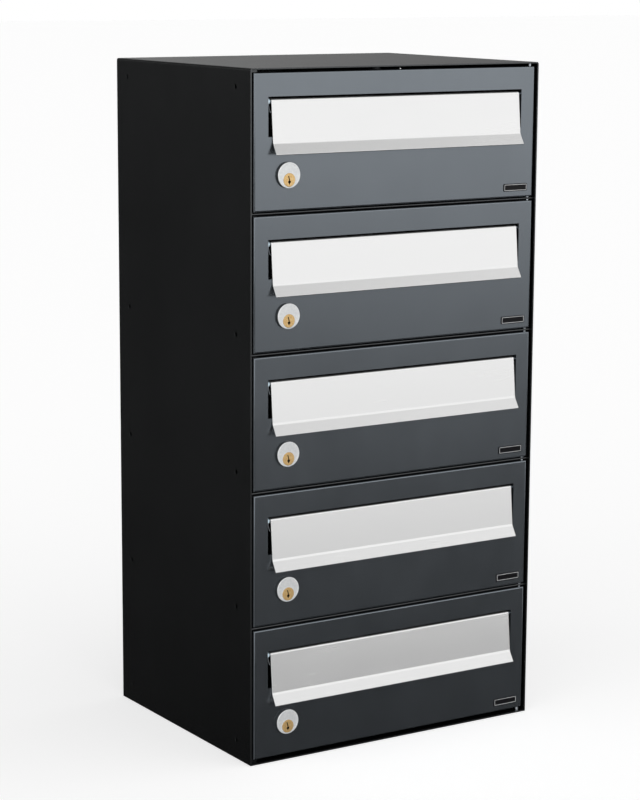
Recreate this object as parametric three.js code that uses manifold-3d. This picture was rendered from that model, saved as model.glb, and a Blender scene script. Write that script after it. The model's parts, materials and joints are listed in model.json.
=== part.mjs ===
// Cluster mailbox unit: a folded steel casing with five letter compartments, one above another.
// Each compartment has a door hung on pins at its right edge. The door carries a top-hung
// aluminium flap over its letter slot, a cam lock and a small blank name plate.
//
// Millimetres, +Z up. The doors face -Y and the origin is the middle of the casing's underside.
// Inside the model, y is the depth behind the casing's front edge. A door and all that it carries
// are drawn in a group of their own, whose z starts at that door's bottom edge.

import * as THREE from "three";
import { mergeVertices } from "three/addons/utils/BufferGeometryUtils.js";
import Module from "manifold-3d";

const wasm = await Module();
wasm.setup();

// Casing: one sheet folded over the top and down both sides, a bottom, a back and shelves.
const WIDTH = 385;
const DEPTH = 307;
const HEIGHT = 776;
const COMPARTMENTS = 5;
const SHEET = 1.5; // casing and doors
const THIN_SHEET = 1.2; // shelves, back panel, strike strip and its rail
const FOLD_RADIUS = 2.5; // outside radius of the casing's two top folds
const RETURN = 12; // width of the casing's inner flanges
const REST = 0.1; // gap between two pieces that rest on each other
const WELD = 0.2; // gap between two sheets that are welded flat together
const PINCH = 0.3; // gap round a sheet that stands in a notch

// Doors. The lowest stands a little above the casing's bottom sheet.
const DOOR_WIDTH = 375.6;
const DOOR_HEIGHT = 149.4;
const DOOR_DEPTH = 9;
const DOOR_RECESS = 1.4; // depth of its face behind the casing's front edge
const DOOR_BEND = 1.8; // outside radius of its four front edges
const FIRST_DOOR = 5.8;
const DOOR_PITCH = 154;

// Letter slot in the door, with a return on three sides that carries the flap's rod.
const SLOT_WIDTH = 339;
const SLOT_TOP = 25.9; // below the door's top edge
const SLOT_BOTTOM = 69;

// Letter flap: a curl round the rod, a plate that leans forward, and a lip that kicks out.
const FLAP_WIDTH = 332;
const FLAP_SHIFT = 1.35; // its middle is right of the door's, and leaves room for a spring
const FLAP_THICKNESS = 1.5;
const ROD_RADIUS = 1.5;
const ROD_DROP = 31; // below the door's top edge
const ROD_DEPTH = 6.1;
const CURL_INNER = 1.6;
const CURL_TURN = THREE.MathUtils.degToRad(250);
const PLATE_LEAN = THREE.MathUtils.degToRad(5.1);
const PLATE_DROP = 44.5; // from the rod down to the bend
const LIP_LEAN = THREE.MathUtils.degToRad(31.5);
const LIP_DROP = 56; // from the rod down to the lip's edge
const WASHER_RADIUS = 3.2;
const WASHER_THICKNESS = 1;
const ROD_END = 3; // how far the rod stands out past each of the slot's returns

// Hinge pins, one line of them for all five doors.
const PIN_X = 183.5;
const PIN_DEPTH = 5.4;
const PIN_RADIUS = 1.5;
const PIN_HOLE = 1.58;
const PIN_REACH = 4; // how far a pin stands inside a door, past its return
const SHOULDER_RADIUS = 2.3;
const SHOULDER_GAP = 0.2;

// Shelves, with a hemmed nose that shows between two doors.
const NOSE_RECESS = 3;
const NOSE_DEPTH = 9;

// Strike strip: an angle behind the doors' free edges that the lock cams turn in behind.
const STRIKE_DEPTH = 12.4;
const STRIKE_WIDTH = 13.8;
const STRIKE_LEG = 13.2;

// Bolt holes that join one unit to the next, and wall holes in the back.
const JOIN_RADIUS = 2.75;
const JOIN_OFFSET = 20.5; // from the nearest shelf, bottom or top
const JOIN_DEPTHS = [31.5, 280];
const WALL_RADIUS = 4;
const WALL_HOLE_X = 150;
const WALL_HOLE_INSET = 78; // from the bottom and from the top

// Cam lock, centred on its round face. Its plug turns below that centre.
const LOCK_X = -145;
const LOCK_DROP = 110.5;
const FACE_RADIUS = 14.2;
const FACE_HEIGHT = 3.5;
const FACE_EDGE = 0.8;
const BARREL_RADIUS = 12.5;
const BARREL_END = 14.9;
const BARREL_FLAT = 10; // half the width across its two flats
const LOCK_CLEARANCE = 0.2;
const GROOVE_FLAT = 9;
const PLUG_OFFSET = 5.2;
const PLUG_HEAD = 7.45;
const PLUG_PROUD = 0.3;
const PLUG_HEAD_HEIGHT = 2.9;
const PLUG_RADIUS = 6;
const PLUG_CLEARANCE = 0.09;
const KEYWAY_WIDTH = 2.4;
const KEYWAY_HEIGHT = 9.6;
const KEYWAY_DEPTH = 8;
const TANG = 7; // square end of the plug that drives the cam
const CAM_LENGTH = 38; // from the plug's axis
const CAM_WIDTH = 12;
const CAM_HUB = 8;
const CAM_THICKNESS = 2;
const CLIP_RADIUS = 17;
const CLIP_LEG = 13;
const CLIP_THICKNESS = 1.2;
const SCREW_SHANK = 1.9;
const SCREW_HEAD = 4;
const SCREW_HEAD_HEIGHT = 2.2;
const SCREW_LENGTH = 7;
const SCREW_CHAMFER = 1;
const RECESS_REACH = 2.2; // half the length of the cross recess in the screw's head
const RECESS_WIDTH = 0.4; // and half its width
const RECESS_DEPTH = 1.2;

// Name plate in the door's lower right corner.
const PLATE_WIDTH = 33;
const PLATE_HEIGHT = 8.6;
const PLATE_THICKNESS = 0.8;
const PLATE_X = 162.8;
const PLATE_Z = 11.4;
const PLATE_CORNER = 1.2;

const DOOR_GAP = DOOR_PITCH - DOOR_HEIGHT;
const INSIDE = WIDTH / 2 - SHEET; // half the casing's clear width
const BACK_FRONT = DEPTH - THIN_SHEET; // front face of the back panel
const DOOR_BACK = DOOR_RECESS + DOOR_DEPTH;
const SKIN_BACK = DOOR_RECESS + SHEET; // back of the door's face sheet
const SHELF_BACK = BACK_FRONT - SHEET - PINCH - REST;
const STRIKE_END = STRIKE_DEPTH + STRIKE_LEG;

const coat = { roughness: 0.5, metalness: 0.1 };
const material = {
  casing: new THREE.MeshStandardMaterial({ color: 0x17181a, ...coat }),
  door: new THREE.MeshStandardMaterial({ color: 0x3d4245, ...coat }),
  aluminium: new THREE.MeshStandardMaterial({ color: 0xd2d4d6, roughness: 0.35, metalness: 1 }),
  zinc: new THREE.MeshStandardMaterial({ color: 0xb4b8ba, roughness: 0.3, metalness: 1 }),
  brass: new THREE.MeshStandardMaterial({ color: 0xc9a25c, roughness: 0.3, metalness: 1 }),
  steel: new THREE.MeshStandardMaterial({ color: 0x9da2a6, roughness: 0.35, metalness: 1 }),
  plate: new THREE.MeshStandardMaterial({ color: 0x101113, roughness: 0.25, metalness: 0 }),
};

// ---- Solids ----

const X_AXIS = new THREE.Vector3(1, 0, 0);
const Y_AXIS = new THREE.Vector3(0, 1, 0);
const Z_AXIS = new THREE.Vector3(0, 0, 1);

function solidOf(geometry) {
  geometry.deleteAttribute("normal");
  geometry.deleteAttribute("uv");
  const merged = mergeVertices(geometry, 1e-4);
  const vertProperties = merged.attributes.position.array;
  const triVerts = new Uint32Array(merged.index.array);
  return new wasm.Manifold(new wasm.Mesh({ numProp: 3, vertProperties, triVerts }));
}

function geometryOf(solid) {
  const { vertProperties, triVerts } = solid.getMesh();
  const geometry = new THREE.BufferGeometry();
  geometry.setAttribute("position", new THREE.BufferAttribute(vertProperties, 3));
  geometry.setIndex(new THREE.BufferAttribute(triVerts, 1));
  geometry.computeVertexNormals();
  return geometry;
}

function join(...solids) {
  return solids.reduce((whole, solid) => whole.add(solid));
}

function cut(solid, ...tools) {
  return tools.reduce((rest, tool) => rest.subtract(tool), solid);
}

// Sends a geometry's two ends along one axis to exact values, so that flush faces stay flush.
function spread(geometry, axis, [low, high], middle) {
  const { array, itemSize } = geometry.attributes.position;
  for (let i = axis; i < array.length; i += itemSize) array[i] = array[i] < middle ? low : high;
  return geometry;
}

// A block between two values on each axis.
function block(x, y, z) {
  const geometry = new THREE.BoxGeometry();
  [x, y, z].forEach((ends, axis) => spread(geometry, axis, ends, 0));
  return solidOf(geometry);
}

// An outline pushed along its own normal from one depth to the next. Arcs get `steps` chords.
function prism(outline, ends, steps) {
  const settings = { depth: 1, bevelEnabled: false, curveSegments: steps / 2 };
  return spread(new THREE.ExtrudeGeometry(outline, settings), 2, ends, 0.5);
}

// An outline in x and y, pushed along z.
function prismZ(outline, ends, steps = 8) {
  return solidOf(prism(outline, ends, steps));
}

// An outline in y and z, pushed along x.
function prismX(outline, ends, steps = 8) {
  const turn = new THREE.Matrix4().makeBasis(Y_AXIS, Z_AXIS, X_AXIS);
  return solidOf(prism(outline, ends, steps).applyMatrix4(turn));
}

// An outline in x and z, pushed along y.
function prismY(outline, [near, far], steps = 8) {
  const turn = new THREE.Matrix4().makeBasis(X_AXIS, Z_AXIS, Y_AXIS.clone().negate());
  return solidOf(prism(outline, [-far, -near], steps).applyMatrix4(turn));
}

// A profile of [radius, height] points turned about the y axis.
function turned(profile, steps) {
  const points = profile.map(([radius, height]) => new THREE.Vector2(radius, height));
  return solidOf(new THREE.LatheGeometry(points, steps));
}

function circle(x, y, radius) {
  const outline = new THREE.Shape();
  outline.absarc(x, y, radius, 0, 2 * Math.PI);
  return outline;
}

function rectangle(width, height, radius) {
  const outline = new THREE.Shape();
  const right = width / 2 - radius;
  const top = height / 2 - radius;
  outline.absarc(right, top, radius, 0, Math.PI / 2);
  outline.absarc(-right, top, radius, Math.PI / 2, Math.PI);
  outline.absarc(-right, -top, radius, Math.PI, 1.5 * Math.PI);
  outline.absarc(right, -top, radius, 1.5 * Math.PI, 2 * Math.PI);
  return outline;
}

// The same outline with its two coordinates passed through `place`.
function mapped(outline, steps, place) {
  return new THREE.Shape(outline.getPoints(steps / 2).map((p) => new THREE.Vector2(...place(p))));
}

function node(name, solid, look) {
  const mesh = new THREE.Mesh(geometryOf(solid), look);
  mesh.name = name;
  return mesh;
}

// ---- Casing ----

const doorBottom = (i) => FIRST_DOOR + DOOR_PITCH * (i - 1);
const shelfHeight = (i) => doorBottom(i + 1) - DOOR_GAP / 2;

// Outline of the folded sheet seen from the front, shrunk by `inset` and open from `foot` up.
function wrapOutline(inset, foot) {
  const side = WIDTH / 2 - inset;
  const top = HEIGHT - inset;
  const radius = FOLD_RADIUS - inset;
  const outline = new THREE.Shape();
  outline.absarc(side - radius, top - radius, radius, 0, Math.PI / 2);
  outline.absarc(radius - side, top - radius, radius, Math.PI / 2, Math.PI);
  outline.lineTo(-side, foot);
  outline.lineTo(side, foot);
  return outline;
}

function joinHeights() {
  const shelves = [1, 2, 3].map((i) => shelfHeight(i) + JOIN_OFFSET);
  return [SHEET + JOIN_OFFSET, ...shelves, HEIGHT - JOIN_OFFSET];
}

function casingWrap() {
  const rear = [BACK_FRONT - REST - SHEET, BACK_FRONT - REST];
  const through = [-1, DEPTH];
  const sleeve = cut(
    prismY(wrapOutline(0, 0), [0, rear[1]], 6),
    prismY(wrapOutline(SHEET, -1), through, 6),
  );
  const flange = cut(
    prismY(wrapOutline(0, 0), rear, 6),
    block([RETURN - WIDTH / 2, WIDTH / 2 - RETURN], through, [-1, HEIGHT - RETURN]),
    block([-INSIDE, INSIDE], through, [-1, RETURN + SHEET + PINCH]),
  );
  const holes = JOIN_DEPTHS.flatMap((y) =>
    joinHeights().map((z) => prismX(circle(y, z, JOIN_RADIUS), [-WIDTH, WIDTH], 12)),
  );
  return cut(join(sleeve, flange), ...holes);
}

function bottomPanel() {
  const side = INSIDE - WELD;
  const rear = BACK_FRONT - REST;
  const height = [0, RETURN + SHEET];
  return join(
    block([-side, side], [0, rear], [0, SHEET]),
    block([-side, side], [rear - SHEET, rear], height),
    block([-side, SHEET - side], [STRIKE_END + PINCH, rear], height),
    block([side - SHEET, side], [STRIKE_END + PINCH, rear], height),
  );
}

function backPanel() {
  const side = WIDTH / 2 - 1;
  const holes = [-WALL_HOLE_X, WALL_HOLE_X].flatMap((x) =>
    [WALL_HOLE_INSET, HEIGHT - WALL_HOLE_INSET].map((z) =>
      prismY(circle(x, z, WALL_RADIUS), [DEPTH - 10, DEPTH + 10], 16),
    ),
  );
  return cut(block([-side, side], [BACK_FRONT, DEPTH], [1, HEIGHT - 1]), ...holes);
}

// A shelf about its own mid height: hemmed nose, plate, and three flanges turned down.
function shelf() {
  const side = INSIDE - WELD;
  const rear = BACK_FRONT - REST;
  const tab = WIDTH / 2 - RETURN - 1;
  const drop = [-RETURN, THIN_SHEET];
  const flangeStart = STRIKE_END + PINCH;
  const hem = new THREE.Shape();
  hem.absarc(NOSE_RECESS + THIN_SHEET, 0, THIN_SHEET, Math.PI / 2, 1.5 * Math.PI);
  hem.lineTo(NOSE_RECESS + NOSE_DEPTH, -THIN_SHEET);
  hem.lineTo(NOSE_RECESS + NOSE_DEPTH, THIN_SHEET);
  const plate = join(
    prismX(hem, [-side, side], 6),
    block([-side, side], [NOSE_RECESS + NOSE_DEPTH - 1, SHELF_BACK], [0, THIN_SHEET]),
    block([-tab, tab], [SHELF_BACK - 1, rear], [0, THIN_SHEET]),
    block([-tab, tab], [rear - THIN_SHEET, rear], drop),
    block([-side, THIN_SHEET - side], [flangeStart, SHELF_BACK], drop),
    block([side - THIN_SHEET, side], [flangeStart, SHELF_BACK], drop),
  );
  const strikeNotch = block(
    [-INSIDE, STRIKE_WIDTH + PINCH - side],
    [NOSE_RECESS + NOSE_DEPTH, flangeStart],
    [-RETURN, RETURN],
  );
  const pinHole = prismZ(circle(PIN_X, PIN_DEPTH, PIN_HOLE), [-RETURN, RETURN], 16);
  return cut(plate, strikeNotch, pinHole);
}

const strikeHeight = [SHEET + WELD, HEIGHT - FOLD_RADIUS];

// The flat bar along the casing's side that carries the strike strip.
function strikeRail() {
  const side = WELD - INSIDE;
  return block([side, side + THIN_SHEET], [STRIKE_DEPTH, STRIKE_END], strikeHeight);
}

// The flat bar across the rail's front that the locks' cams turn in behind.
function strikeStrip() {
  const side = WELD - INSIDE;
  const front = [STRIKE_DEPTH, STRIKE_DEPTH + THIN_SHEET];
  return block([side + THIN_SHEET + REST, side + STRIKE_WIDTH], front, strikeHeight);
}

// A hinge pin as a turned bar between two heights, with a shoulder that carries the door above.
function hingePin(foot, head, shoulder) {
  const chamfer = 0.4;
  const profile = [[0, foot]];
  profile.push([PIN_RADIUS - chamfer, foot], [PIN_RADIUS, foot + chamfer]);
  if (shoulder) {
    profile.push([PIN_RADIUS, shoulder[0]], [SHOULDER_RADIUS, shoulder[0]]);
    profile.push([SHOULDER_RADIUS, shoulder[1]], [PIN_RADIUS, shoulder[1]]);
  }
  profile.push([PIN_RADIUS, head - chamfer], [PIN_RADIUS - chamfer, head], [0, head]);
  return turned(profile, 12);
}

// The lowest pin is a stud on the bottom sheet and the highest a stud under the top. The other
// pins go through a shelf's nose and hold one door's top and the next door's bottom.
function hingePins() {
  const reach = SHEET + PIN_REACH;
  const pins = [];
  for (let i = 0; i <= COMPARTMENTS; i++) {
    const above = doorBottom(i + 1);
    const below = above - DOOR_GAP;
    const seat = i === 0 ? SHEET : shelfHeight(i) + THIN_SHEET;
    const foot = i === 0 ? SHEET + REST : below - reach;
    const top = i === COMPARTMENTS;
    const head = top ? HEIGHT - SHEET - REST : above + reach;
    const shoulder = top ? null : [seat + 2 * REST, above - SHOULDER_GAP];
    const mesh = node(`hinge_pin_${i + 1}`, hingePin(foot, head, shoulder), material.steel);
    mesh.rotation.x = Math.PI / 2;
    mesh.position.set(PIN_X, PIN_DEPTH, 0);
    pins.push(mesh);
  }
  return pins;
}

function casing() {
  const group = new THREE.Group();
  group.add(node("casing_wrap", casingWrap(), material.casing));
  group.add(node("bottom_panel", bottomPanel(), material.casing));
  group.add(node("back_panel", backPanel(), material.casing));
  group.add(node("strike_rail", strikeRail(), material.casing));
  group.add(node("strike_strip", strikeStrip(), material.casing));
  for (let i = 1; i < COMPARTMENTS; i++) {
    const mesh = node(`shelf_${i}`, shelf(), material.casing);
    mesh.position.z = shelfHeight(i);
    group.add(mesh);
  }
  group.add(...hingePins());
  return group;
}

// ---- Door ----

// The edge of a folded pan: straight along the back, with its two front corners rounded.
function panEdge(length) {
  const outline = new THREE.Shape();
  const near = DOOR_RECESS + DOOR_BEND;
  outline.absarc(DOOR_BEND, near, DOOR_BEND, Math.PI, 1.5 * Math.PI);
  outline.absarc(length - DOOR_BEND, near, DOOR_BEND, 1.5 * Math.PI, 2 * Math.PI);
  outline.lineTo(length, DOOR_BACK);
  outline.lineTo(0, DOOR_BACK);
  return outline;
}

// A shallow pan open to the back, with all four front edges rounded.
function doorPan() {
  const half = DOOR_WIDTH / 2;
  const across = mapped(panEdge(DOOR_WIDTH), 6, (p) => [p.x - half, p.y]);
  const upright = mapped(panEdge(DOOR_HEIGHT), 6, (p) => [p.y, p.x]);
  const outside = prismZ(across, [0, DOOR_HEIGHT]).intersect(prismX(upright, [-half, half]));
  const wall = half - SHEET;
  return cut(outside, block([-wall, wall], [SKIN_BACK, DEPTH], [SHEET, DOOR_HEIGHT - SHEET]));
}

function lockHole() {
  const depth = [0, DOOR_BACK];
  const z = DOOR_HEIGHT - LOCK_DROP;
  const round = prismY(circle(LOCK_X, z, BARREL_RADIUS + LOCK_CLEARANCE), depth, 24);
  const flat = BARREL_FLAT + LOCK_CLEARANCE;
  const tall = [z - FACE_RADIUS, z + FACE_RADIUS];
  return round.intersect(block([LOCK_X - flat, LOCK_X + flat], depth, tall));
}

function doorPanel() {
  const half = SLOT_WIDTH / 2;
  const top = DOOR_HEIGHT - SLOT_TOP;
  const bottom = DOOR_HEIGHT - SLOT_BOTTOM;
  const rodZ = DOOR_HEIGHT - ROD_DROP;
  const returns = block([-half - SHEET, half + SHEET], [SKIN_BACK - 1, DOOR_BACK], [bottom - SHEET, top]);
  return cut(
    join(doorPan(), returns),
    block([-half, half], [0, DEPTH], [bottom, top]),
    prismX(circle(ROD_DEPTH, rodZ, PIN_HOLE), [-half - 3 * SHEET, half + 3 * SHEET], 16),
    prismZ(circle(PIN_X, PIN_DEPTH, PIN_HOLE), [-1, DOOR_HEIGHT + 1], 16),
    lockHole(),
  );
}

// The flap's section about its rod. The first coordinate is outwards, the second upwards.
function flapSection() {
  const curlOuter = CURL_INNER + FLAP_THICKNESS;
  const out = (lean) => new THREE.Vector2(Math.cos(lean), Math.sin(lean));
  const down = (lean) => new THREE.Vector2(Math.sin(lean), -Math.cos(lean));
  // A point on the plate's face that is `radius` from the rod, at a given height.
  const onPlate = (radius, height) => {
    const start = out(PLATE_LEAN).multiplyScalar(radius);
    const run = (start.y - height) / Math.cos(PLATE_LEAN);
    return start.addScaledVector(down(PLATE_LEAN), run);
  };
  const bendFront = onPlate(curlOuter, -PLATE_DROP);
  const lipLength = (LIP_DROP - PLATE_DROP) / Math.cos(LIP_LEAN);
  const tipFront = bendFront.clone().addScaledVector(down(LIP_LEAN), lipLength);
  const across = out(LIP_LEAN).multiplyScalar(-FLAP_THICKNESS);
  const tipBack = tipFront.clone().add(across);
  const bendBack = onPlate(CURL_INNER, -PLATE_DROP - FLAP_THICKNESS * Math.tan(PLATE_LEAN));
  const soft = 1.6; // how far from its corner the bend's curve starts
  const near = (corner, lean, run) => corner.clone().addScaledVector(down(lean), run);
  const tipCentre = tipFront.clone().add(tipBack).multiplyScalar(0.5);

  const section = new THREE.Shape();
  section.absarc(0, 0, curlOuter, CURL_TURN, PLATE_LEAN, true);
  section.lineTo(...near(bendFront, PLATE_LEAN, -soft));
  section.quadraticCurveTo(...bendFront, ...near(bendFront, LIP_LEAN, soft));
  section.absarc(...tipCentre, FLAP_THICKNESS / 2, LIP_LEAN, LIP_LEAN - Math.PI, true);
  section.lineTo(...near(bendBack, LIP_LEAN, soft));
  section.quadraticCurveTo(...bendBack, ...near(bendBack, PLATE_LEAN, -soft));
  section.absarc(0, 0, CURL_INNER, PLATE_LEAN, CURL_TURN, false);
  return section;
}

function letterFlap() {
  const steps = 8;
  const section = mapped(flapSection(), steps, (p) => [-p.x, p.y]);
  return prismX(section, [-FLAP_WIDTH / 2, FLAP_WIDTH / 2]);
}

// The rod that the flap swings on, with a push-on washer outside each of the slot's returns.
function flapRod() {
  const wall = SLOT_WIDTH / 2 + SHEET + REST;
  const washer = circle(0, 0, WASHER_RADIUS);
  return join(
    prismX(circle(0, 0, ROD_RADIUS), [-wall - ROD_END, wall + ROD_END], 12),
    prismX(washer, [-wall - WASHER_THICKNESS, -wall], 16),
    prismX(washer, [wall, wall + WASHER_THICKNESS], 16),
  );
}

function namePlate() {
  const back = DOOR_RECESS - REST;
  const outline = rectangle(PLATE_WIDTH, PLATE_HEIGHT, PLATE_CORNER);
  return prismY(outline, [back - PLATE_THICKNESS, back], 4);
}

// ---- Lock, about the centre of its round face ----

const faceFront = DOOR_RECESS - FACE_HEIGHT;
const camFront = BARREL_END + 2 * REST;
const camBack = camFront + CAM_THICKNESS;
const tangEnd = camBack + REST;
const plugHeadBack = faceFront - PLUG_PROUD + PLUG_HEAD_HEIGHT;

// The housing: a round face with an eased rim, and a barrel with two flats, a groove in each
// flat for the clip, and an off-centre bore for the plug.
function lockBody() {
  const faceBack = DOOR_RECESS - REST;
  const profile = [
    [0, faceFront],
    [FACE_RADIUS - FACE_EDGE, faceFront],
    [FACE_RADIUS - FACE_EDGE / 4, faceFront + FACE_EDGE / 3],
    [FACE_RADIUS, faceFront + FACE_EDGE],
    [FACE_RADIUS, faceBack],
    [BARREL_RADIUS, faceBack],
    [BARREL_RADIUS, BARREL_END],
    [0, BARREL_END],
  ];
  const groove = [SKIN_BACK + REST / 2, SKIN_BACK + CLIP_THICKNESS + 3 * REST];
  const tall = [-FACE_RADIUS, FACE_RADIUS];
  const beside = (x, y) => [block([x, FACE_RADIUS], y, tall), block([-FACE_RADIUS, -x], y, tall)];
  return cut(
    turned(profile, 24),
    ...beside(BARREL_FLAT, [faceBack, DEPTH]),
    ...beside(GROOVE_FLAT, groove),
    prismY(circle(0, -PLUG_OFFSET, PLUG_HEAD + PLUG_CLEARANCE), [-DEPTH, plugHeadBack + REST], 24),
    prismY(circle(0, -PLUG_OFFSET, PLUG_RADIUS + PLUG_CLEARANCE), [-DEPTH, DEPTH], 24),
  );
}

// The plug about its own axis: head, body and square tang, with a keyway and a screw hole.
function lockPlug() {
  const headFront = faceFront - PLUG_PROUD;
  const bore = SCREW_SHANK + PLUG_CLEARANCE;
  const square = TANG / 2;
  return cut(
    join(
      prismY(circle(0, 0, PLUG_HEAD), [headFront, plugHeadBack], 24),
      prismY(circle(0, 0, PLUG_RADIUS), [headFront, BARREL_END], 24),
      block([-square, square], [headFront, tangEnd], [-square, square]),
    ),
    block(
      [-KEYWAY_WIDTH / 2, KEYWAY_WIDTH / 2],
      [headFront - 1, headFront + KEYWAY_DEPTH],
      [-KEYWAY_HEIGHT / 2, KEYWAY_HEIGHT / 2],
    ),
    prismY(circle(0, 0, bore), [tangEnd - SCREW_LENGTH - REST, DEPTH], 12),
  );
}

// The horseshoe clip that slides into the barrel's grooves behind the door's sheet.
function lockClip() {
  const inner = GROOVE_FLAT + REST;
  const crown = BARREL_RADIUS + REST;
  const outline = new THREE.Shape();
  outline.absarc(0, 0, CLIP_RADIUS, 0, Math.PI);
  outline.lineTo(-CLIP_RADIUS, -CLIP_LEG);
  outline.lineTo(-inner, -CLIP_LEG);
  outline.lineTo(-inner, crown);
  outline.lineTo(inner, crown);
  outline.lineTo(inner, -CLIP_LEG);
  outline.lineTo(CLIP_RADIUS, -CLIP_LEG);
  const front = SKIN_BACK + REST;
  return prismY(outline, [front, front + CLIP_THICKNESS], 16);
}

// The cam about the plug's axis. It points up when the door is free, and the plug turns it a
// quarter turn towards the door's free edge to lock.
function lockCam() {
  const depth = [camFront, camBack];
  const arm = new THREE.Shape();
  const tip = CAM_WIDTH / 4;
  arm.moveTo(-CAM_WIDTH / 2, 0);
  arm.lineTo(CAM_WIDTH / 2, 0);
  arm.absarc(CAM_WIDTH / 2 - tip, CAM_LENGTH - tip, tip, 0, Math.PI / 2);
  arm.absarc(tip - CAM_WIDTH / 2, CAM_LENGTH - tip, tip, Math.PI / 2, Math.PI);
  const square = TANG / 2 + REST;
  return cut(
    join(prismY(circle(0, 0, CAM_HUB), depth, 20), prismY(arm, depth, 4)),
    block([-square, square], [0, DEPTH], [-square, square]),
  );
}

function camScrew() {
  const seat = tangEnd + REST;
  const crown = seat + SCREW_HEAD_HEIGHT;
  const profile = [
    [0, tangEnd - SCREW_LENGTH],
    [SCREW_SHANK, tangEnd - SCREW_LENGTH],
    [SCREW_SHANK, seat],
    [SCREW_HEAD, seat],
    [SCREW_HEAD, crown - SCREW_CHAMFER],
    [SCREW_HEAD - SCREW_CHAMFER, crown],
    [0, crown],
  ];
  const recess = (wide, tall) => block([-wide, wide], [crown - RECESS_DEPTH, DEPTH], [-tall, tall]);
  return cut(turned(profile, 12), recess(RECESS_REACH, RECESS_WIDTH), recess(RECESS_WIDTH, RECESS_REACH));
}

function lock(i) {
  const group = new THREE.Group();
  group.position.set(LOCK_X, 0, DOOR_HEIGHT - LOCK_DROP);
  group.add(node(`lock_body_${i}`, lockBody(), material.zinc));
  group.add(node(`lock_clip_${i}`, lockClip(), material.steel));
  const turning = new THREE.Group();
  turning.position.z = -PLUG_OFFSET;
  turning.add(node(`lock_plug_${i}`, lockPlug(), material.brass));
  turning.add(node(`lock_cam_${i}`, lockCam(), material.steel));
  turning.add(node(`cam_screw_${i}`, camScrew(), material.steel));
  group.add(turning);
  return group;
}

function door(i) {
  const group = new THREE.Group();
  group.position.z = doorBottom(i);
  group.add(node(`door_panel_${i}`, doorPanel(), material.door));
  const rod = node(`flap_rod_${i}`, flapRod(), material.steel);
  rod.position.set(0, ROD_DEPTH, DOOR_HEIGHT - ROD_DROP);
  const flap = node(`letter_flap_${i}`, letterFlap(), material.aluminium);
  flap.position.copy(rod.position).setX(FLAP_SHIFT);
  const plate = node(`name_plate_${i}`, namePlate(), material.plate);
  plate.position.set(PLATE_X, 0, PLATE_Z);
  group.add(rod, flap, plate, lock(i));
  return group;
}

const mailboxes = new THREE.Group();
mailboxes.position.y = -DEPTH / 2;
mailboxes.add(casing());
for (let i = 1; i <= COMPARTMENTS; i++) mailboxes.add(door(i));

export default mailboxes;
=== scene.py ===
"""Cluster mailbox unit: camera, studio light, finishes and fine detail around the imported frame."""

import json
import math

import bmesh
import bpy
from mathutils import Matrix, Vector


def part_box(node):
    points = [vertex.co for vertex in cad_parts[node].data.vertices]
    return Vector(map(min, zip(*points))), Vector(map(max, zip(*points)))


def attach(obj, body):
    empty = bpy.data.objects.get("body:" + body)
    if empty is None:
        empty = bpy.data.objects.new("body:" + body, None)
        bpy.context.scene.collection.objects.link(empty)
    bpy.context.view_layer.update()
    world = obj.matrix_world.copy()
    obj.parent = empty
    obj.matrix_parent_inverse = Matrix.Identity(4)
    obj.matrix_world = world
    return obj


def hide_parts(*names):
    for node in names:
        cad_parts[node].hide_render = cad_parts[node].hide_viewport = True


MM = 0.001
DOORS = range(1, 6)
FRONT = -0.1535  # the casing's front edge
CAMERA_PLACE = (-1.4938, -2.3392, 0.8876)
CAMERA_DEGREES = (-32.47, 10.46, 0.298)  # azimuth, elevation, roll
LOCK_X, LOCK_DROP = -145, 110.5  # a lock's middle, and how far it is below its door's top
PLUG_DROP = 5.2  # the plug's axis below the middle of the round face
PLATE_X, PLATE_RISE = 162.8, 11.4  # a name plate's middle, and its height above its door's foot
ROD_DEPTH, ROD_DROP = 6.1, 31  # a flap rod's axis
HUB_LEFT = -169.35
FLOOR_REACH = 30

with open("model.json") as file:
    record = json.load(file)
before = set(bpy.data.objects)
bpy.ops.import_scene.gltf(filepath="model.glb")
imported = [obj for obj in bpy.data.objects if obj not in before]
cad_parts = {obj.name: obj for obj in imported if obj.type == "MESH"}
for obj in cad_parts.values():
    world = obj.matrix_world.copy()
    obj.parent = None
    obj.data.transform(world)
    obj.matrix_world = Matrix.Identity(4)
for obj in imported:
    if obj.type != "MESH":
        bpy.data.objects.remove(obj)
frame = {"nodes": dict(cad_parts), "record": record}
bpy.context.view_layer.update()
nodes = frame["nodes"]
scene = bpy.context.scene


def door_bottom(i):
    """Height of a door's bottom edge in millimetres."""
    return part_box(f"door_panel_{i}")[0].z / MM


def door_top(i):
    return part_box(f"door_panel_{i}")[1].z / MM


# ---- Camera ----

def make_camera():
    azimuth, elevation, roll = (math.radians(a) for a in CAMERA_DEGREES)
    back = Vector((
        math.sin(azimuth) * math.cos(elevation),
        -math.cos(azimuth) * math.cos(elevation),
        math.sin(elevation),
    ))
    right = Vector((math.cos(azimuth), math.sin(azimuth), 0))
    up = back.cross(right)
    turned_right = right * math.cos(roll) + up * math.sin(roll)
    turned_up = up * math.cos(roll) - right * math.sin(roll)
    data = bpy.data.cameras.new("camera")
    data.lens = 106.8
    data.sensor_width = 36
    data.clip_end = 60
    camera = bpy.data.objects.new("camera", data)
    turn = Matrix((turned_right, turned_up, back)).transposed().to_4x4()
    camera.matrix_world = Matrix.Translation(CAMERA_PLACE) @ turn
    scene.collection.objects.link(camera)
    scene.camera = camera


# ---- Node graphs ----

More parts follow.
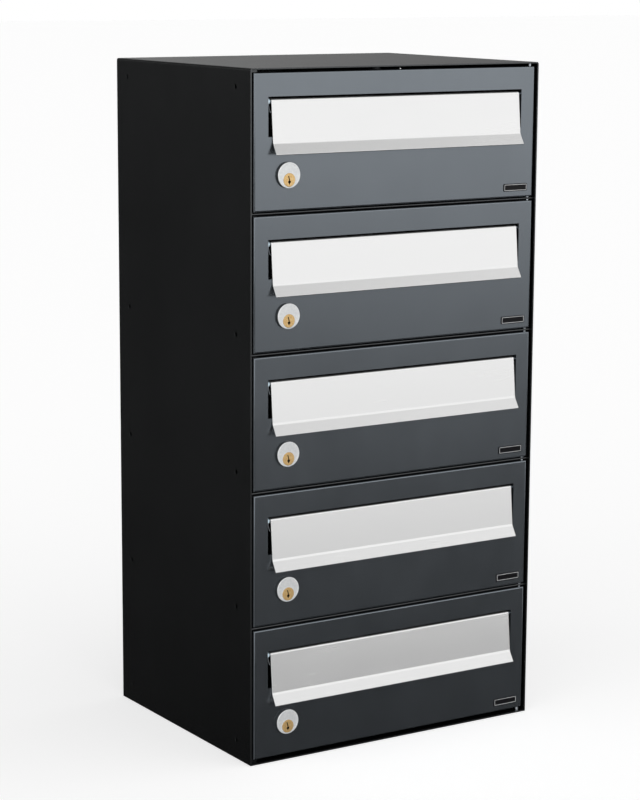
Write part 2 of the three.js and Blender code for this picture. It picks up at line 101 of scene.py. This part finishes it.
class Graph:
    """A short way to write a node tree: add(kind, socket=value or socket of another node)."""

    def __init__(self, tree):
        self.tree = tree
        tree.nodes.clear()

    def add(self, kind, sockets=None, **settings):
        node = self.tree.nodes.new(kind)
        for name, value in settings.items():
            setattr(node, name, value)
        for name, value in (sockets or {}).items():
            socket = node.inputs[name]
            if isinstance(value, bpy.types.NodeSocket):
                self.tree.links.new(value, socket)
            else:
                socket.default_value = value
        return node

    def math(self, operation, *values):
        node = self.add("ShaderNodeMath", dict(enumerate(values)), operation=operation)
        return node.outputs[0]

    def noise(self, vector, scale, detail=2.0, roughness=0.5):
        sockets = {"Vector": vector, "Scale": scale, "Detail": detail, "Roughness": roughness}
        return self.add("ShaderNodeTexNoise", sockets).outputs["Fac"]

    def remap(self, value, low, high, to_low, to_high, kind="LINEAR"):
        sockets = {"Value": value, "From Min": low, "From Max": high}
        sockets |= {"To Min": to_low, "To Max": to_high}
        return self.add("ShaderNodeMapRange", sockets, interpolation_type=kind).outputs[0]

    def ramp(self, value, stops):
        node = self.add("ShaderNodeValToRGB", {"Fac": value})
        ramp = node.color_ramp
        while len(ramp.elements) < len(stops):
            ramp.elements.new(1)
        for element, (position, colour) in zip(ramp.elements, stops):
            element.position = position
            element.color = (*colour, 1)
        return node.outputs["Color"]

    def profile(self, value, stops):
        """A grey level read off (value, level) stops, joined by straight lines."""
        low, high = stops[0][0], stops[-1][0]
        share = self.remap(value, low, high, 0, 1)
        return self.ramp(share, [((v - low) / (high - low), (level,) * 3) for v, level in stops])

    def mixed(self, first, second, blend):
        sockets = {0: 1.0, 6: first, 7: second}
        return self.add("ShaderNodeMix", sockets, data_type="RGBA", blend_type=blend).outputs[2]

    def stretched(self, vector, scale):
        sockets = {"Vector": vector, "Scale": scale}
        return self.add("ShaderNodeMapping", sockets).outputs["Vector"]

    def bump(self, height, strength, distance, normal=None):
        sockets = {"Height": height, "Strength": strength, "Distance": distance}
        if normal is not None:
            sockets["Normal"] = normal
        return self.add("ShaderNodeBump", sockets).outputs["Normal"]


def finish_material(name, build):
    """A material whose graph is drawn by build(graph, place), which returns the shader's sockets."""
    material = bpy.data.materials.new(name)
    material.use_nodes = True
    graph = Graph(material.node_tree)
    place = graph.add("ShaderNodeTexCoord").outputs["Object"]
    shader = graph.add("ShaderNodeBsdfPrincipled", build(graph, place))
    graph.add("ShaderNodeOutputMaterial", {"Surface": shader.outputs["BSDF"]})
    return material


def powder_coat(low, high, metallic, roughness):
    """Fine-textured powder coat: a small grain, a wider orange peel, and slow drifts in tone."""
    def build(graph, place):
        drift = graph.noise(place, 9, 3)
        grain = graph.noise(place, 2100, 2)
        peel = graph.noise(place, 420, 2)
        rub = graph.noise(graph.stretched(place, (1, 1, 0.35)), 60, 4, 0.65)
        tone = graph.math("ADD", graph.math("MULTIPLY", grain, 0.45),
                          graph.math("MULTIPLY", drift, 0.55))
        colour = graph.ramp(tone, [(0.3, low), (0.7, high)])
        shine = graph.math("ADD", graph.remap(rub, 0.35, 0.7, roughness - 0.008, roughness + 0.012),
                           graph.remap(drift, 0.3, 0.7, -0.006, 0.006))
        normal = graph.bump(peel, 0.5, 0.000010)
        normal = graph.bump(grain, 0.5, 0.000006, normal)
        return {"Base Color": colour, "Metallic": metallic, "Roughness": shine, "Normal": normal}
    return build


def anodised(graph, place):
    """Natural anodised aluminium with a fine grain along the flap."""
    grain = graph.noise(graph.stretched(place, (14, 2600, 2600)), 1, 3, 0.6)
    cloud = graph.noise(graph.stretched(place, (1, 2, 2)), 14, 3)
    colour = graph.ramp(graph.math("ADD", graph.math("MULTIPLY", grain, 0.6),
                                   graph.math("MULTIPLY", cloud, 0.4)),
                        [(0.3, (0.82, 0.82, 0.82)), (0.7, (0.87, 0.87, 0.868))])
    shine = graph.math("ADD", graph.remap(grain, 0.3, 0.7, 0.25, 0.27),
                       graph.remap(cloud, 0.3, 0.7, -0.01, 0.01))
    return {"Base Color": colour, "Metallic": 0.92, "Roughness": shine,
            "Normal": graph.bump(grain, 0.04, 0.00001)}


def by_depth(graph, place, stops):
    """A value from (millimetres of depth, value) stops, for what differs between front and side, such
    as the painted shade on the lock's rim and in the keyway.
    """
    depth = graph.add("ShaderNodeSeparateXYZ", {"Vector": place}).outputs["Y"]
    return graph.profile(depth, [(d * MM, level) for d, level in stops])


def nickel(graph, place):
    """Satin nickel on a die casting: a brushed pale face, painted shade on the rim's side and the
    bore behind it, and the barrel behind the door at 0.6 of the colour.
    """
    pit = graph.noise(place, 3800, 3)
    cloud = graph.noise(place, 420, 3)
    colour = graph.ramp(cloud, [(0.3, (0.84, 0.86, 0.87)), (0.7, (0.97, 0.98, 0.98))])
    # painted shade: the rim's side and the bore walls, between depths -1.5 and 1.3 mm, are darkened
    # to 0.14 of the colour; the barrel behind the door is at 0.6
    rim = by_depth(graph, place, [(-2.2, 1), (-1.75, 1), (-1.5, 0.14), (1.3, 0.14), (1.6, 0.6),
                                  (20, 0.6)])
    return {"Base Color": graph.mixed(colour, rim, "MULTIPLY"),
            # fully metallic behind the face, so diffuse light does not lift the painted shade
            "Metallic": by_depth(graph, place, [(-2.2, 0.6), (-1.75, 0.6), (-1.5, 1), (20, 1)]),
            "Roughness": graph.remap(pit, 0.3, 0.7, 0.34, 0.48),
            "Normal": graph.bump(pit, 0.3, 0.00002)}


def brass(graph, place):
    """Turned brass: rings about the plug's axis, a little tarnish, and painted shade inside the
    keyway.
    """
    parts = graph.add("ShaderNodeSeparateXYZ", {"Vector": place}).outputs
    radius = graph.math("SQRT", graph.math("ADD", graph.math("MULTIPLY", parts["X"], parts["X"]),
                                           graph.math("MULTIPLY", parts["Z"], parts["Z"])))
    rings = graph.math("SINE", graph.math("MULTIPLY", radius, 26000))
    stain = graph.noise(place, 420, 4, 0.6)
    colour = graph.ramp(stain, [(0.3, (0.78, 0.46, 0.16)), (0.55, (0.96, 0.66, 0.30)),
                                (0.8, (1.0, 0.80, 0.46))])
    # painted shade: from just behind the head's face to 6 mm deep, over the keyway's walls and the
    # plug's body, the colour drops to 0.06
    painted_keyway_shade = by_depth(graph, place, [(-2.4, 1), (-2.1, 1), (-1.9, 0.06), (6, 0.06), (7, 1), (20, 1)])
    return {"Base Color": graph.mixed(colour, painted_keyway_shade, "MULTIPLY"), "Metallic": 0.8,
            "Roughness": graph.remap(stain, 0.3, 0.7, 0.42, 0.3),
            "Normal": graph.bump(rings, 0.15, 0.00001)}


def zinc_plate(graph, place):
    """Bright zinc plating with faint streaks."""
    streak = graph.noise(graph.stretched(place, (900, 900, 120)), 1, 3)
    spot = graph.noise(place, 500, 3)
    colour = graph.ramp(spot, [(0.3, (0.50, 0.54, 0.58)), (0.7, (0.66, 0.70, 0.74))])
    return {"Base Color": colour, "Metallic": 1.0,
            "Roughness": graph.remap(streak, 0.3, 0.7, 0.22, 0.4),
            "Normal": graph.bump(streak, 0.1, 0.00001)}


def blue_zinc(graph, place):
    """Matt zinc plating with a blue passivation."""
    cloud = graph.noise(place, 900, 3)
    speck = graph.noise(place, 4000, 2)
    colour = graph.ramp(cloud, [(0.3, (0.58, 0.74, 0.84)), (0.7, (0.74, 0.86, 0.93))])
    return {"Base Color": colour, "Metallic": 0.2,
            "Roughness": graph.remap(speck, 0.3, 0.7, 0.4, 0.55),
            "Normal": graph.bump(speck, 0.2, 0.00001)}


def gloss_black(graph, place):
    """Glossy black plastic with hairline scuffs."""
    scuff = graph.noise(graph.stretched(place, (60, 60, 1800)), 1, 4, 0.6)
    speck = graph.noise(place, 1500, 2)
    colour = graph.ramp(speck, [(0.3, (0.006, 0.006, 0.007)), (0.7, (0.012, 0.012, 0.013))])
    return {"Base Color": colour, "Roughness": graph.remap(scuff, 0.35, 0.7, 0.12, 0.28),
            "Specular IOR Level": 0.12, "Normal": graph.bump(scuff, 0.05, 0.00001)}


def pale_print(graph, place):
    """The plate's raised pale rule."""
    speck = graph.noise(place, 1800, 3)
    colour = graph.ramp(speck, [(0.3, (0.78, 0.79, 0.80)), (0.7, (0.90, 0.90, 0.91))])
    return {"Base Color": colour, "Metallic": 0.3,
            "Roughness": graph.remap(speck, 0.3, 0.7, 0.3, 0.45),
            "Normal": graph.bump(speck, 0.1, 0.00001)}


MATERIALS = {
    "casing_coat": finish_material(
        "casing_coat", powder_coat((0.086, 0.090, 0.092), (0.106, 0.110, 0.113), 0.97, 0.24)),
    "door_coat": finish_material(
        "door_coat", powder_coat((0.200, 0.222, 0.244), (0.226, 0.250, 0.275), 0.95, 0.24)),
    "flap_aluminium": finish_material("flap_aluminium", anodised),
    "lock_zinc": finish_material("lock_zinc", nickel),
    "plug_brass": finish_material("plug_brass", brass),
    "plated_steel": finish_material("plated_steel", zinc_plate),
    "blue_zinc": finish_material("blue_zinc", blue_zinc),
    "name_plate": finish_material("name_plate", gloss_black),
    "pale_print": finish_material("pale_print", pale_print),
}


# ---- Edges of the CAD pieces ----

def smoothing_group():
    """A modifier that shades round parts smoothly and keeps edges over 35 degrees sharp."""
    group = bpy.data.node_groups.new("smooth_by_angle", "GeometryNodeTree")
    group.interface.new_socket("Geometry", in_out="INPUT", socket_type="NodeSocketGeometry")
    group.interface.new_socket("Geometry", in_out="OUTPUT", socket_type="NodeSocketGeometry")
    graph = Graph(group)
    source = graph.add("NodeGroupInput").outputs[0]
    plain = graph.add("GeometryNodeRemoveAttribute", {"Geometry": source, "Name": "custom_normal"})
    faces = graph.add("GeometryNodeSetShadeSmooth",
                      {"Geometry": plain.outputs[0], "Shade Smooth": True}, domain="FACE")
    angle = graph.add("GeometryNodeInputMeshEdgeAngle").outputs["Unsigned Angle"]
    steep = graph.math("GREATER_THAN", angle, math.radians(35))
    edges = graph.add("GeometryNodeSetShadeSmooth",
                      {"Geometry": faces.outputs[0], "Selection": steep, "Shade Smooth": False},
                      domain="EDGE")
    graph.add("NodeGroupOutput", {"Geometry": edges.outputs[0]})
    return group


SMOOTH = smoothing_group()


def ease_edges(piece, width, clamp=True):
    """Joins an imported mesh's flat faces, rounds its sharp edges and shades the flat faces flat."""
    weld = piece.modifiers.new("weld", "WELD")
    weld.merge_threshold = 0.002 * MM
    flat = piece.modifiers.new("flat", "DECIMATE")
    flat.decimate_type = "DISSOLVE"
    flat.angle_limit = math.radians(0.5)
    smooth = piece.modifiers.new("smooth", "NODES")
    smooth.node_group = SMOOTH
    bevel = piece.modifiers.new("bevel", "BEVEL")
    bevel.width = width * MM
    bevel.segments = 2
    bevel.limit_method = "ANGLE"
    bevel.use_clamp_overlap = clamp
    bevel.angle_limit = math.radians(35)
    flats = piece.modifiers.new("flats", "WEIGHTED_NORMAL")
    flats.mode = "FACE_AREA"
    flats.weight = 100
    flats.keep_sharp = True


EDGE_WIDTHS = {"door_panel": 0.3, "letter_flap": 0.45, "casing_wrap": 0.3, "lock_cam": 0.25,
               "lock_clip": 0.2, "flap_rod": 0.15, "hinge_pin": 0.1, "cam_screw": 0.1}
subparts = {s["node"]: s["material_slot"] for s in frame["record"]["subparts"]}
for name, node in nodes.items():
    for slot in node.material_slots:
        slot.material = MATERIALS[subparts[name]]
    kind = name.rstrip("0123456789").rstrip("_")
    ease_edges(node, EDGE_WIDTHS.get(kind, 0.2), clamp=kind != "letter_flap")


# ---- Mesh code ----

def turned(profile, steps=96):
    """A profile of (radius, depth) points in millimetres turned about the depth axis."""
    mesh = bmesh.new()
    rings = []
    for radius, depth in profile:
        count = steps if radius else 1
        angles = [2 * math.pi * k / steps for k in range(count)]
        rings.append([
            mesh.verts.new((radius * math.cos(a) * MM, depth * MM, radius * math.sin(a) * MM))
            for a in angles])
    for near, far in zip(rings, rings[1:]):
        for k in range(steps):
            corners = [near[k % len(near)], near[(k + 1) % len(near)],
                       far[(k + 1) % len(far)], far[k % len(far)]]
            mesh.faces.new(list(dict.fromkeys(corners)))
    return as_mesh(mesh)


def slab(outline, near, far):
    """A flat outline of (x, z) points in millimetres, from one depth to another."""
    mesh = bmesh.new()
    front = [mesh.verts.new((x * MM, near * MM, z * MM)) for x, z in outline]
    rear = [mesh.verts.new((x * MM, far * MM, z * MM)) for x, z in outline]
    mesh.faces.new(front)
    mesh.faces.new(rear[::-1])
    for k in range(len(front)):
        nxt = (k + 1) % len(front)
        mesh.faces.new((front[nxt], front[k], rear[k], rear[nxt]))
    return as_mesh(mesh)


def as_mesh(built):
    bmesh.ops.recalc_face_normals(built, faces=built.faces)
    mesh = bpy.data.meshes.new("part")
    built.to_mesh(mesh)
    built.free()
    return mesh


def block(x, depth, z):
    return slab([(x[0], z[0]), (x[1], z[0]), (x[1], z[1]), (x[0], z[1])], *depth)


def rod(radius, near, far, drop=0.0):
    """A round bar along the depth axis, lowered by drop."""
    mesh = turned([(0, near), (radius, near), (radius, far), (0, far)])
    mesh.transform(Matrix.Translation((0, 0, -drop * MM)))
    return mesh


def combined(base, *steps):
    """The base mesh after boolean steps, each ("UNION" or "DIFFERENCE", mesh)."""
    made = [bpy.data.objects.new("base", base)]
    for operation, mesh in steps:
        tool = bpy.data.objects.new("tool", mesh)
        made.append(tool)
        change = made[0].modifiers.new(operation, "BOOLEAN")
        change.operation = operation
        change.object = tool
        change.solver = "EXACT"
    for piece in made:
        scene.collection.objects.link(piece)
    evaluated = made[0].evaluated_get(bpy.context.evaluated_depsgraph_get())
    mesh = bpy.data.meshes.new_from_object(evaluated)
    for piece in made:
        bpy.data.objects.remove(piece)
    return mesh


def rounded(width, height, radius, steps=6):
    """A rounded rectangle's outline in millimetres."""
    points = []
    for turn, (sx, sz) in enumerate(((1, 1), (-1, 1), (-1, -1), (1, -1))):
        for k in range(steps + 1):
            angle = math.pi / 2 * (turn + k / steps)
            points.append((sx * (width / 2 - radius) + radius * math.cos(angle),
                           sz * (height / 2 - radius) + radius * math.sin(angle)))
    return points


def place(name, mesh, material, body, at, edge=None, replaced=None, slot=None):
    """A piece of the object at a point in millimetres: x, depth behind the casing's front, height."""
    piece = bpy.data.objects.new(name, mesh)
    scene.collection.objects.link(piece)
    if not mesh.materials:
        mesh.materials.append(MATERIALS[material])
    piece.location = (at[0] * MM, FRONT + at[1] * MM, at[2] * MM)
    if edge:
        ease_edges(piece, edge)
    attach(piece, body)
    slot or material
    if replaced:
        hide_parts(replaced)
    return piece


# ---- Locks ----

def housing_mesh():
    """Round face with a raised rim and a raised ring round the plug, on a barrel with two flats."""
    rim = [(13.4 + 0.8 * math.sin(a), -1.3 - 0.8 * math.cos(a))
           for a in (math.radians(15 * k) for k in range(7))]
    base = turned([(0, -2.1), *rim, (14.2, 1.3), (12.5, 1.3), (12.5, 14.9), (0, 14.9)])
    field = combined(turned([(0, -3), (12.4, -3), (12.4, -2.1), (12.1, -1.75), (0, -1.75)]),
                     ("DIFFERENCE", rod(8.7, -4, 0, PLUG_DROP)))
    steps = [("DIFFERENCE", field),
             ("DIFFERENCE", rod(7.54, -4, 0.6, PLUG_DROP)),
             ("DIFFERENCE", rod(6.09, -4, 20, PLUG_DROP))]
    for side in (-1, 1):
        steps.append(("DIFFERENCE", block(sorted((side * 10, side * 16)), (1.3, 20), (-16, 16))))
        steps.append(("DIFFERENCE", block(sorted((side * 9, side * 15)), (2.95, 4.4), (-15, 15))))
    return combined(base, *steps)


KEYWAY = [(-1.7, 4.5), (-0.7, 4.8), (0.7, 0.4), (0.7, -0.7), (1.75, -1.3), (1.75, -3.0), (0.6, -3.6),
          (0.55, -4.8), (-0.5, -4.8), (-0.6, -3.6), (-1.6, -3.0), (-1.6, -1.3), (-0.5, -0.7),
          (-0.5, 0.3)]


def plug_mesh():
    """Plug about its own axis: a chamfered head with a profiled keyway, a body and a square tang."""
    head = [(0, -2.36), (6.2, -2.36), (6.35, -2.4), (6.85, -2.4), (7.25, -2.27), (7.45, -1.95)]
    base = turned([*head, (7.45, 0.5), (6.0, 0.5), (6.0, 14.9), (0, 14.9)])
    return combined(base,
                    ("UNION", block((-3.5, 3.5), (10, 17.2), (-3.5, 3.5))),
                    ("DIFFERENCE", slab(KEYWAY, -4, 5.6)),
                    ("DIFFERENCE", rod(1.99, 10.1, 20)))


def make_locks():
    housing, plug = housing_mesh(), plug_mesh()
    for i in DOORS:
        height = door_top(i) - LOCK_DROP
        place(f"lock_housing_{i}", housing, "lock_zinc", f"door_{i}", (LOCK_X, 0, height),
              0.12, f"lock_body_{i}")
        place(f"lock_core_{i}", plug, "plug_brass", f"lock_{i}", (LOCK_X, 0, height - PLUG_DROP),
              0.1, f"lock_plug_{i}")


# ---- Name plates ----

def make_plates():
    plate = slab(rounded(33, 8.6, 1.2), 0.5, 1.3)
    rule = combined(slab(rounded(31.2, 6.8, 0.8), 0.43, 0.7),
                    ("DIFFERENCE", slab(rounded(30.4, 6.0, 0.5), 0, 1)))
    for i in DOORS:
        at = (PLATE_X, 0, door_bottom(i) + PLATE_RISE)
        place(f"plate_face_{i}", plate, "name_plate", f"door_{i}", at, 0.2, f"name_plate_{i}")
        place(f"plate_rule_{i}", rule, "pale_print", f"door_{i}", at, 0.03, slot="name_plate")


# ---- Flap springs ----

def wire_mesh(path, radius):
    """A wire of that radius along points in millimetres."""
    curve = bpy.data.curves.new("wire", "CURVE")
    curve.dimensions = "3D"
    curve.bevel_depth = radius * MM
    curve.bevel_resolution = 3
    curve.use_fill_caps = True
    spline = curve.splines.new("POLY")
    spline.points.add(len(path) - 1)
    for point, (x, y, z) in zip(spline.points, path):
        point.co = (x * MM, y * MM, z * MM, 1)
    drawn = bpy.data.objects.new("wire", curve)
    scene.collection.objects.link(drawn)
    evaluated = drawn.evaluated_get(bpy.context.evaluated_depsgraph_get())
    mesh = bpy.data.meshes.new_from_object(evaluated)
    bpy.data.objects.remove(drawn)
    for polygon in mesh.polygons:
        polygon.use_smooth = True
    return mesh


def coil(start, turns, pitch, first_angle, radius=2.5, steps=24):
    """Points of a coil round the x axis, its angle measured from the front upwards."""
    count = round(steps * turns)
    angles = [first_angle + 2 * math.pi * k / steps for k in range(count + 1)]
    return [(start + pitch * k / steps, -radius * math.cos(a), radius * math.sin(a))
            for k, a in enumerate(angles)]


def make_springs():
    """A torsion spring on each flap's rod: a hub that stays with the door, and a coil whose free
    end reaches behind the flap and swings with it."""
    hub = turned([(1.6, 0), (2.75, 0), (3.05, 0.3), (3.05, 2.7), (2.75, 3.0), (1.6, 3.0), (1.6, 0)],
                 48)
    hub.transform(Matrix.Translation((HUB_LEFT * MM, 0, 0)) @ Matrix.Rotation(-math.pi / 2, 4, "Z"))
    path = coil(-165.95, 1.0, 0.7, math.pi, 2.3)
    path += [(-165.2, 2.2, -3.5), (-165.15, 0.6, -8.6), (-164.95, -0.6, -11.2), (-164.2, -0.9, -12),
             (-163, -0.95, -12.2), (-158, -0.95, -12.2)]
    wire = wire_mesh(path, 0.3)
    for i in DOORS:
        at = (0, ROD_DEPTH, door_top(i) - ROD_DROP)
        place(f"spring_hub_{i}", hub, "blue_zinc", f"door_{i}", at, 0.15, slot="plated_steel")
        place(f"flap_spring_{i}", wire, "plated_steel", f"flap_{i}", at)


make_locks()
make_plates()
make_springs()


# ---- Floor and light ----

def make_floor():
    mesh = bpy.data.meshes.new("floor")
    corners = [(x * FLOOR_REACH, y * FLOOR_REACH, 0) for x, y in ((-1, -1), (1, -1), (1, 1), (-1, 1))]
    mesh.from_pydata(corners, [], [(0, 1, 2, 3)])
    floor = bpy.data.objects.new("floor", mesh)
    floor.location.z = -0.0002
    material = bpy.data.materials.new("floor")
    material.use_nodes = True
    graph = Graph(material.node_tree)
    sockets = {"Base Color": (0.9, 0.9, 0.9, 1), "Roughness": 0.9,
               "Emission Color": (1, 1, 1, 1), "Emission Strength": 0.6}
    shader = graph.add("ShaderNodeBsdfPrincipled", sockets)
    graph.add("ShaderNodeOutputMaterial", {"Surface": shader.outputs["BSDF"]})
    mesh.materials.append(material)
    floor.visible_glossy = False
    scene.collection.objects.link(floor)


def low_fill(graph, parts):
    """Light off the floor and low walls, for the sides that the photograph doesn't show. Two gaps in
    it keep the left side and the lower doors as dark as they are in the photograph."""
    turn = graph.math("MULTIPLY", parts["X"], graph.math("SIGN", parts["Y"]))
    gaps = graph.profile(turn, [(-1, 1), (-0.82, 1), (-0.7, 0), (-0.26, 0), (-0.08, 1), (1, 1)])
    low = graph.profile(parts["Z"], [(-1, 0.3), (-0.12, 0.42), (-0.04, 0.3), (0.04, 0), (1, 0)])
    return graph.mixed(gaps, low, "MULTIPLY")


def make_world():
    """A pale studio: a broad bright wall in front, a dim one behind, and white to the camera."""
    world = bpy.data.worlds.new("studio")
    scene.world = world
    world.use_nodes = True
    graph = Graph(world.node_tree)
    heading = graph.add("ShaderNodeTexCoord").outputs["Generated"]
    parts = graph.add("ShaderNodeSeparateXYZ", {"Vector": heading}).outputs
    front = graph.profile(parts["Z"], [
        (-1, 0.01), (-0.18, 0.01), (-0.09, 0.78), (0, 1.0), (0.09, 0.84), (0.3, 0.83), (0.47, 0.91),
        (0.64, 0.66), (0.77, 0.36), (0.87, 0.18), (1, 0.06)])
    back = graph.profile(parts["Z"], [
        (-1, 0.0), (-0.33, 0.0), (-0.2, 0.05), (-0.02, 0.05), (0.05, 0.24), (0.2, 0.24), (0.35, 0.1),
        (1, 0.06)])
    across = graph.profile(parts["X"], [
        (-1, 0.3), (-0.53, 1.5), (-0.45, 0.35), (0, 1), (0.45, 1.3), (0.6, 0.85), (1, 0.6)])
    back = graph.mixed(back, across, "MULTIPLY")
    facing = graph.remap(parts["Y"], -0.2, 0.7, 0, 1, "SMOOTHSTEP")
    glow = graph.add("ShaderNodeMix", {0: facing, 6: front, 7: back}, data_type="RGBA").outputs[2]
    glow = graph.mixed(glow, low_fill(graph, parts), "LIGHTEN")
    studio = graph.add("ShaderNodeBackground", {"Color": glow, "Strength": 1.25})
    white = graph.add("ShaderNodeBackground", {"Color": (1, 1, 1, 1), "Strength": 1.0})
    seen = graph.add("ShaderNodeLightPath").outputs["Is Camera Ray"]
    both = graph.add("ShaderNodeMixShader",
                     {0: seen, 1: studio.outputs[0], 2: white.outputs[0]})
    graph.add("ShaderNodeOutputWorld", {"Surface": both.outputs[0]})


make_camera()
make_floor()
make_world()
scene.view_settings.view_transform = "Standard"

bpy.context.view_layer.update()
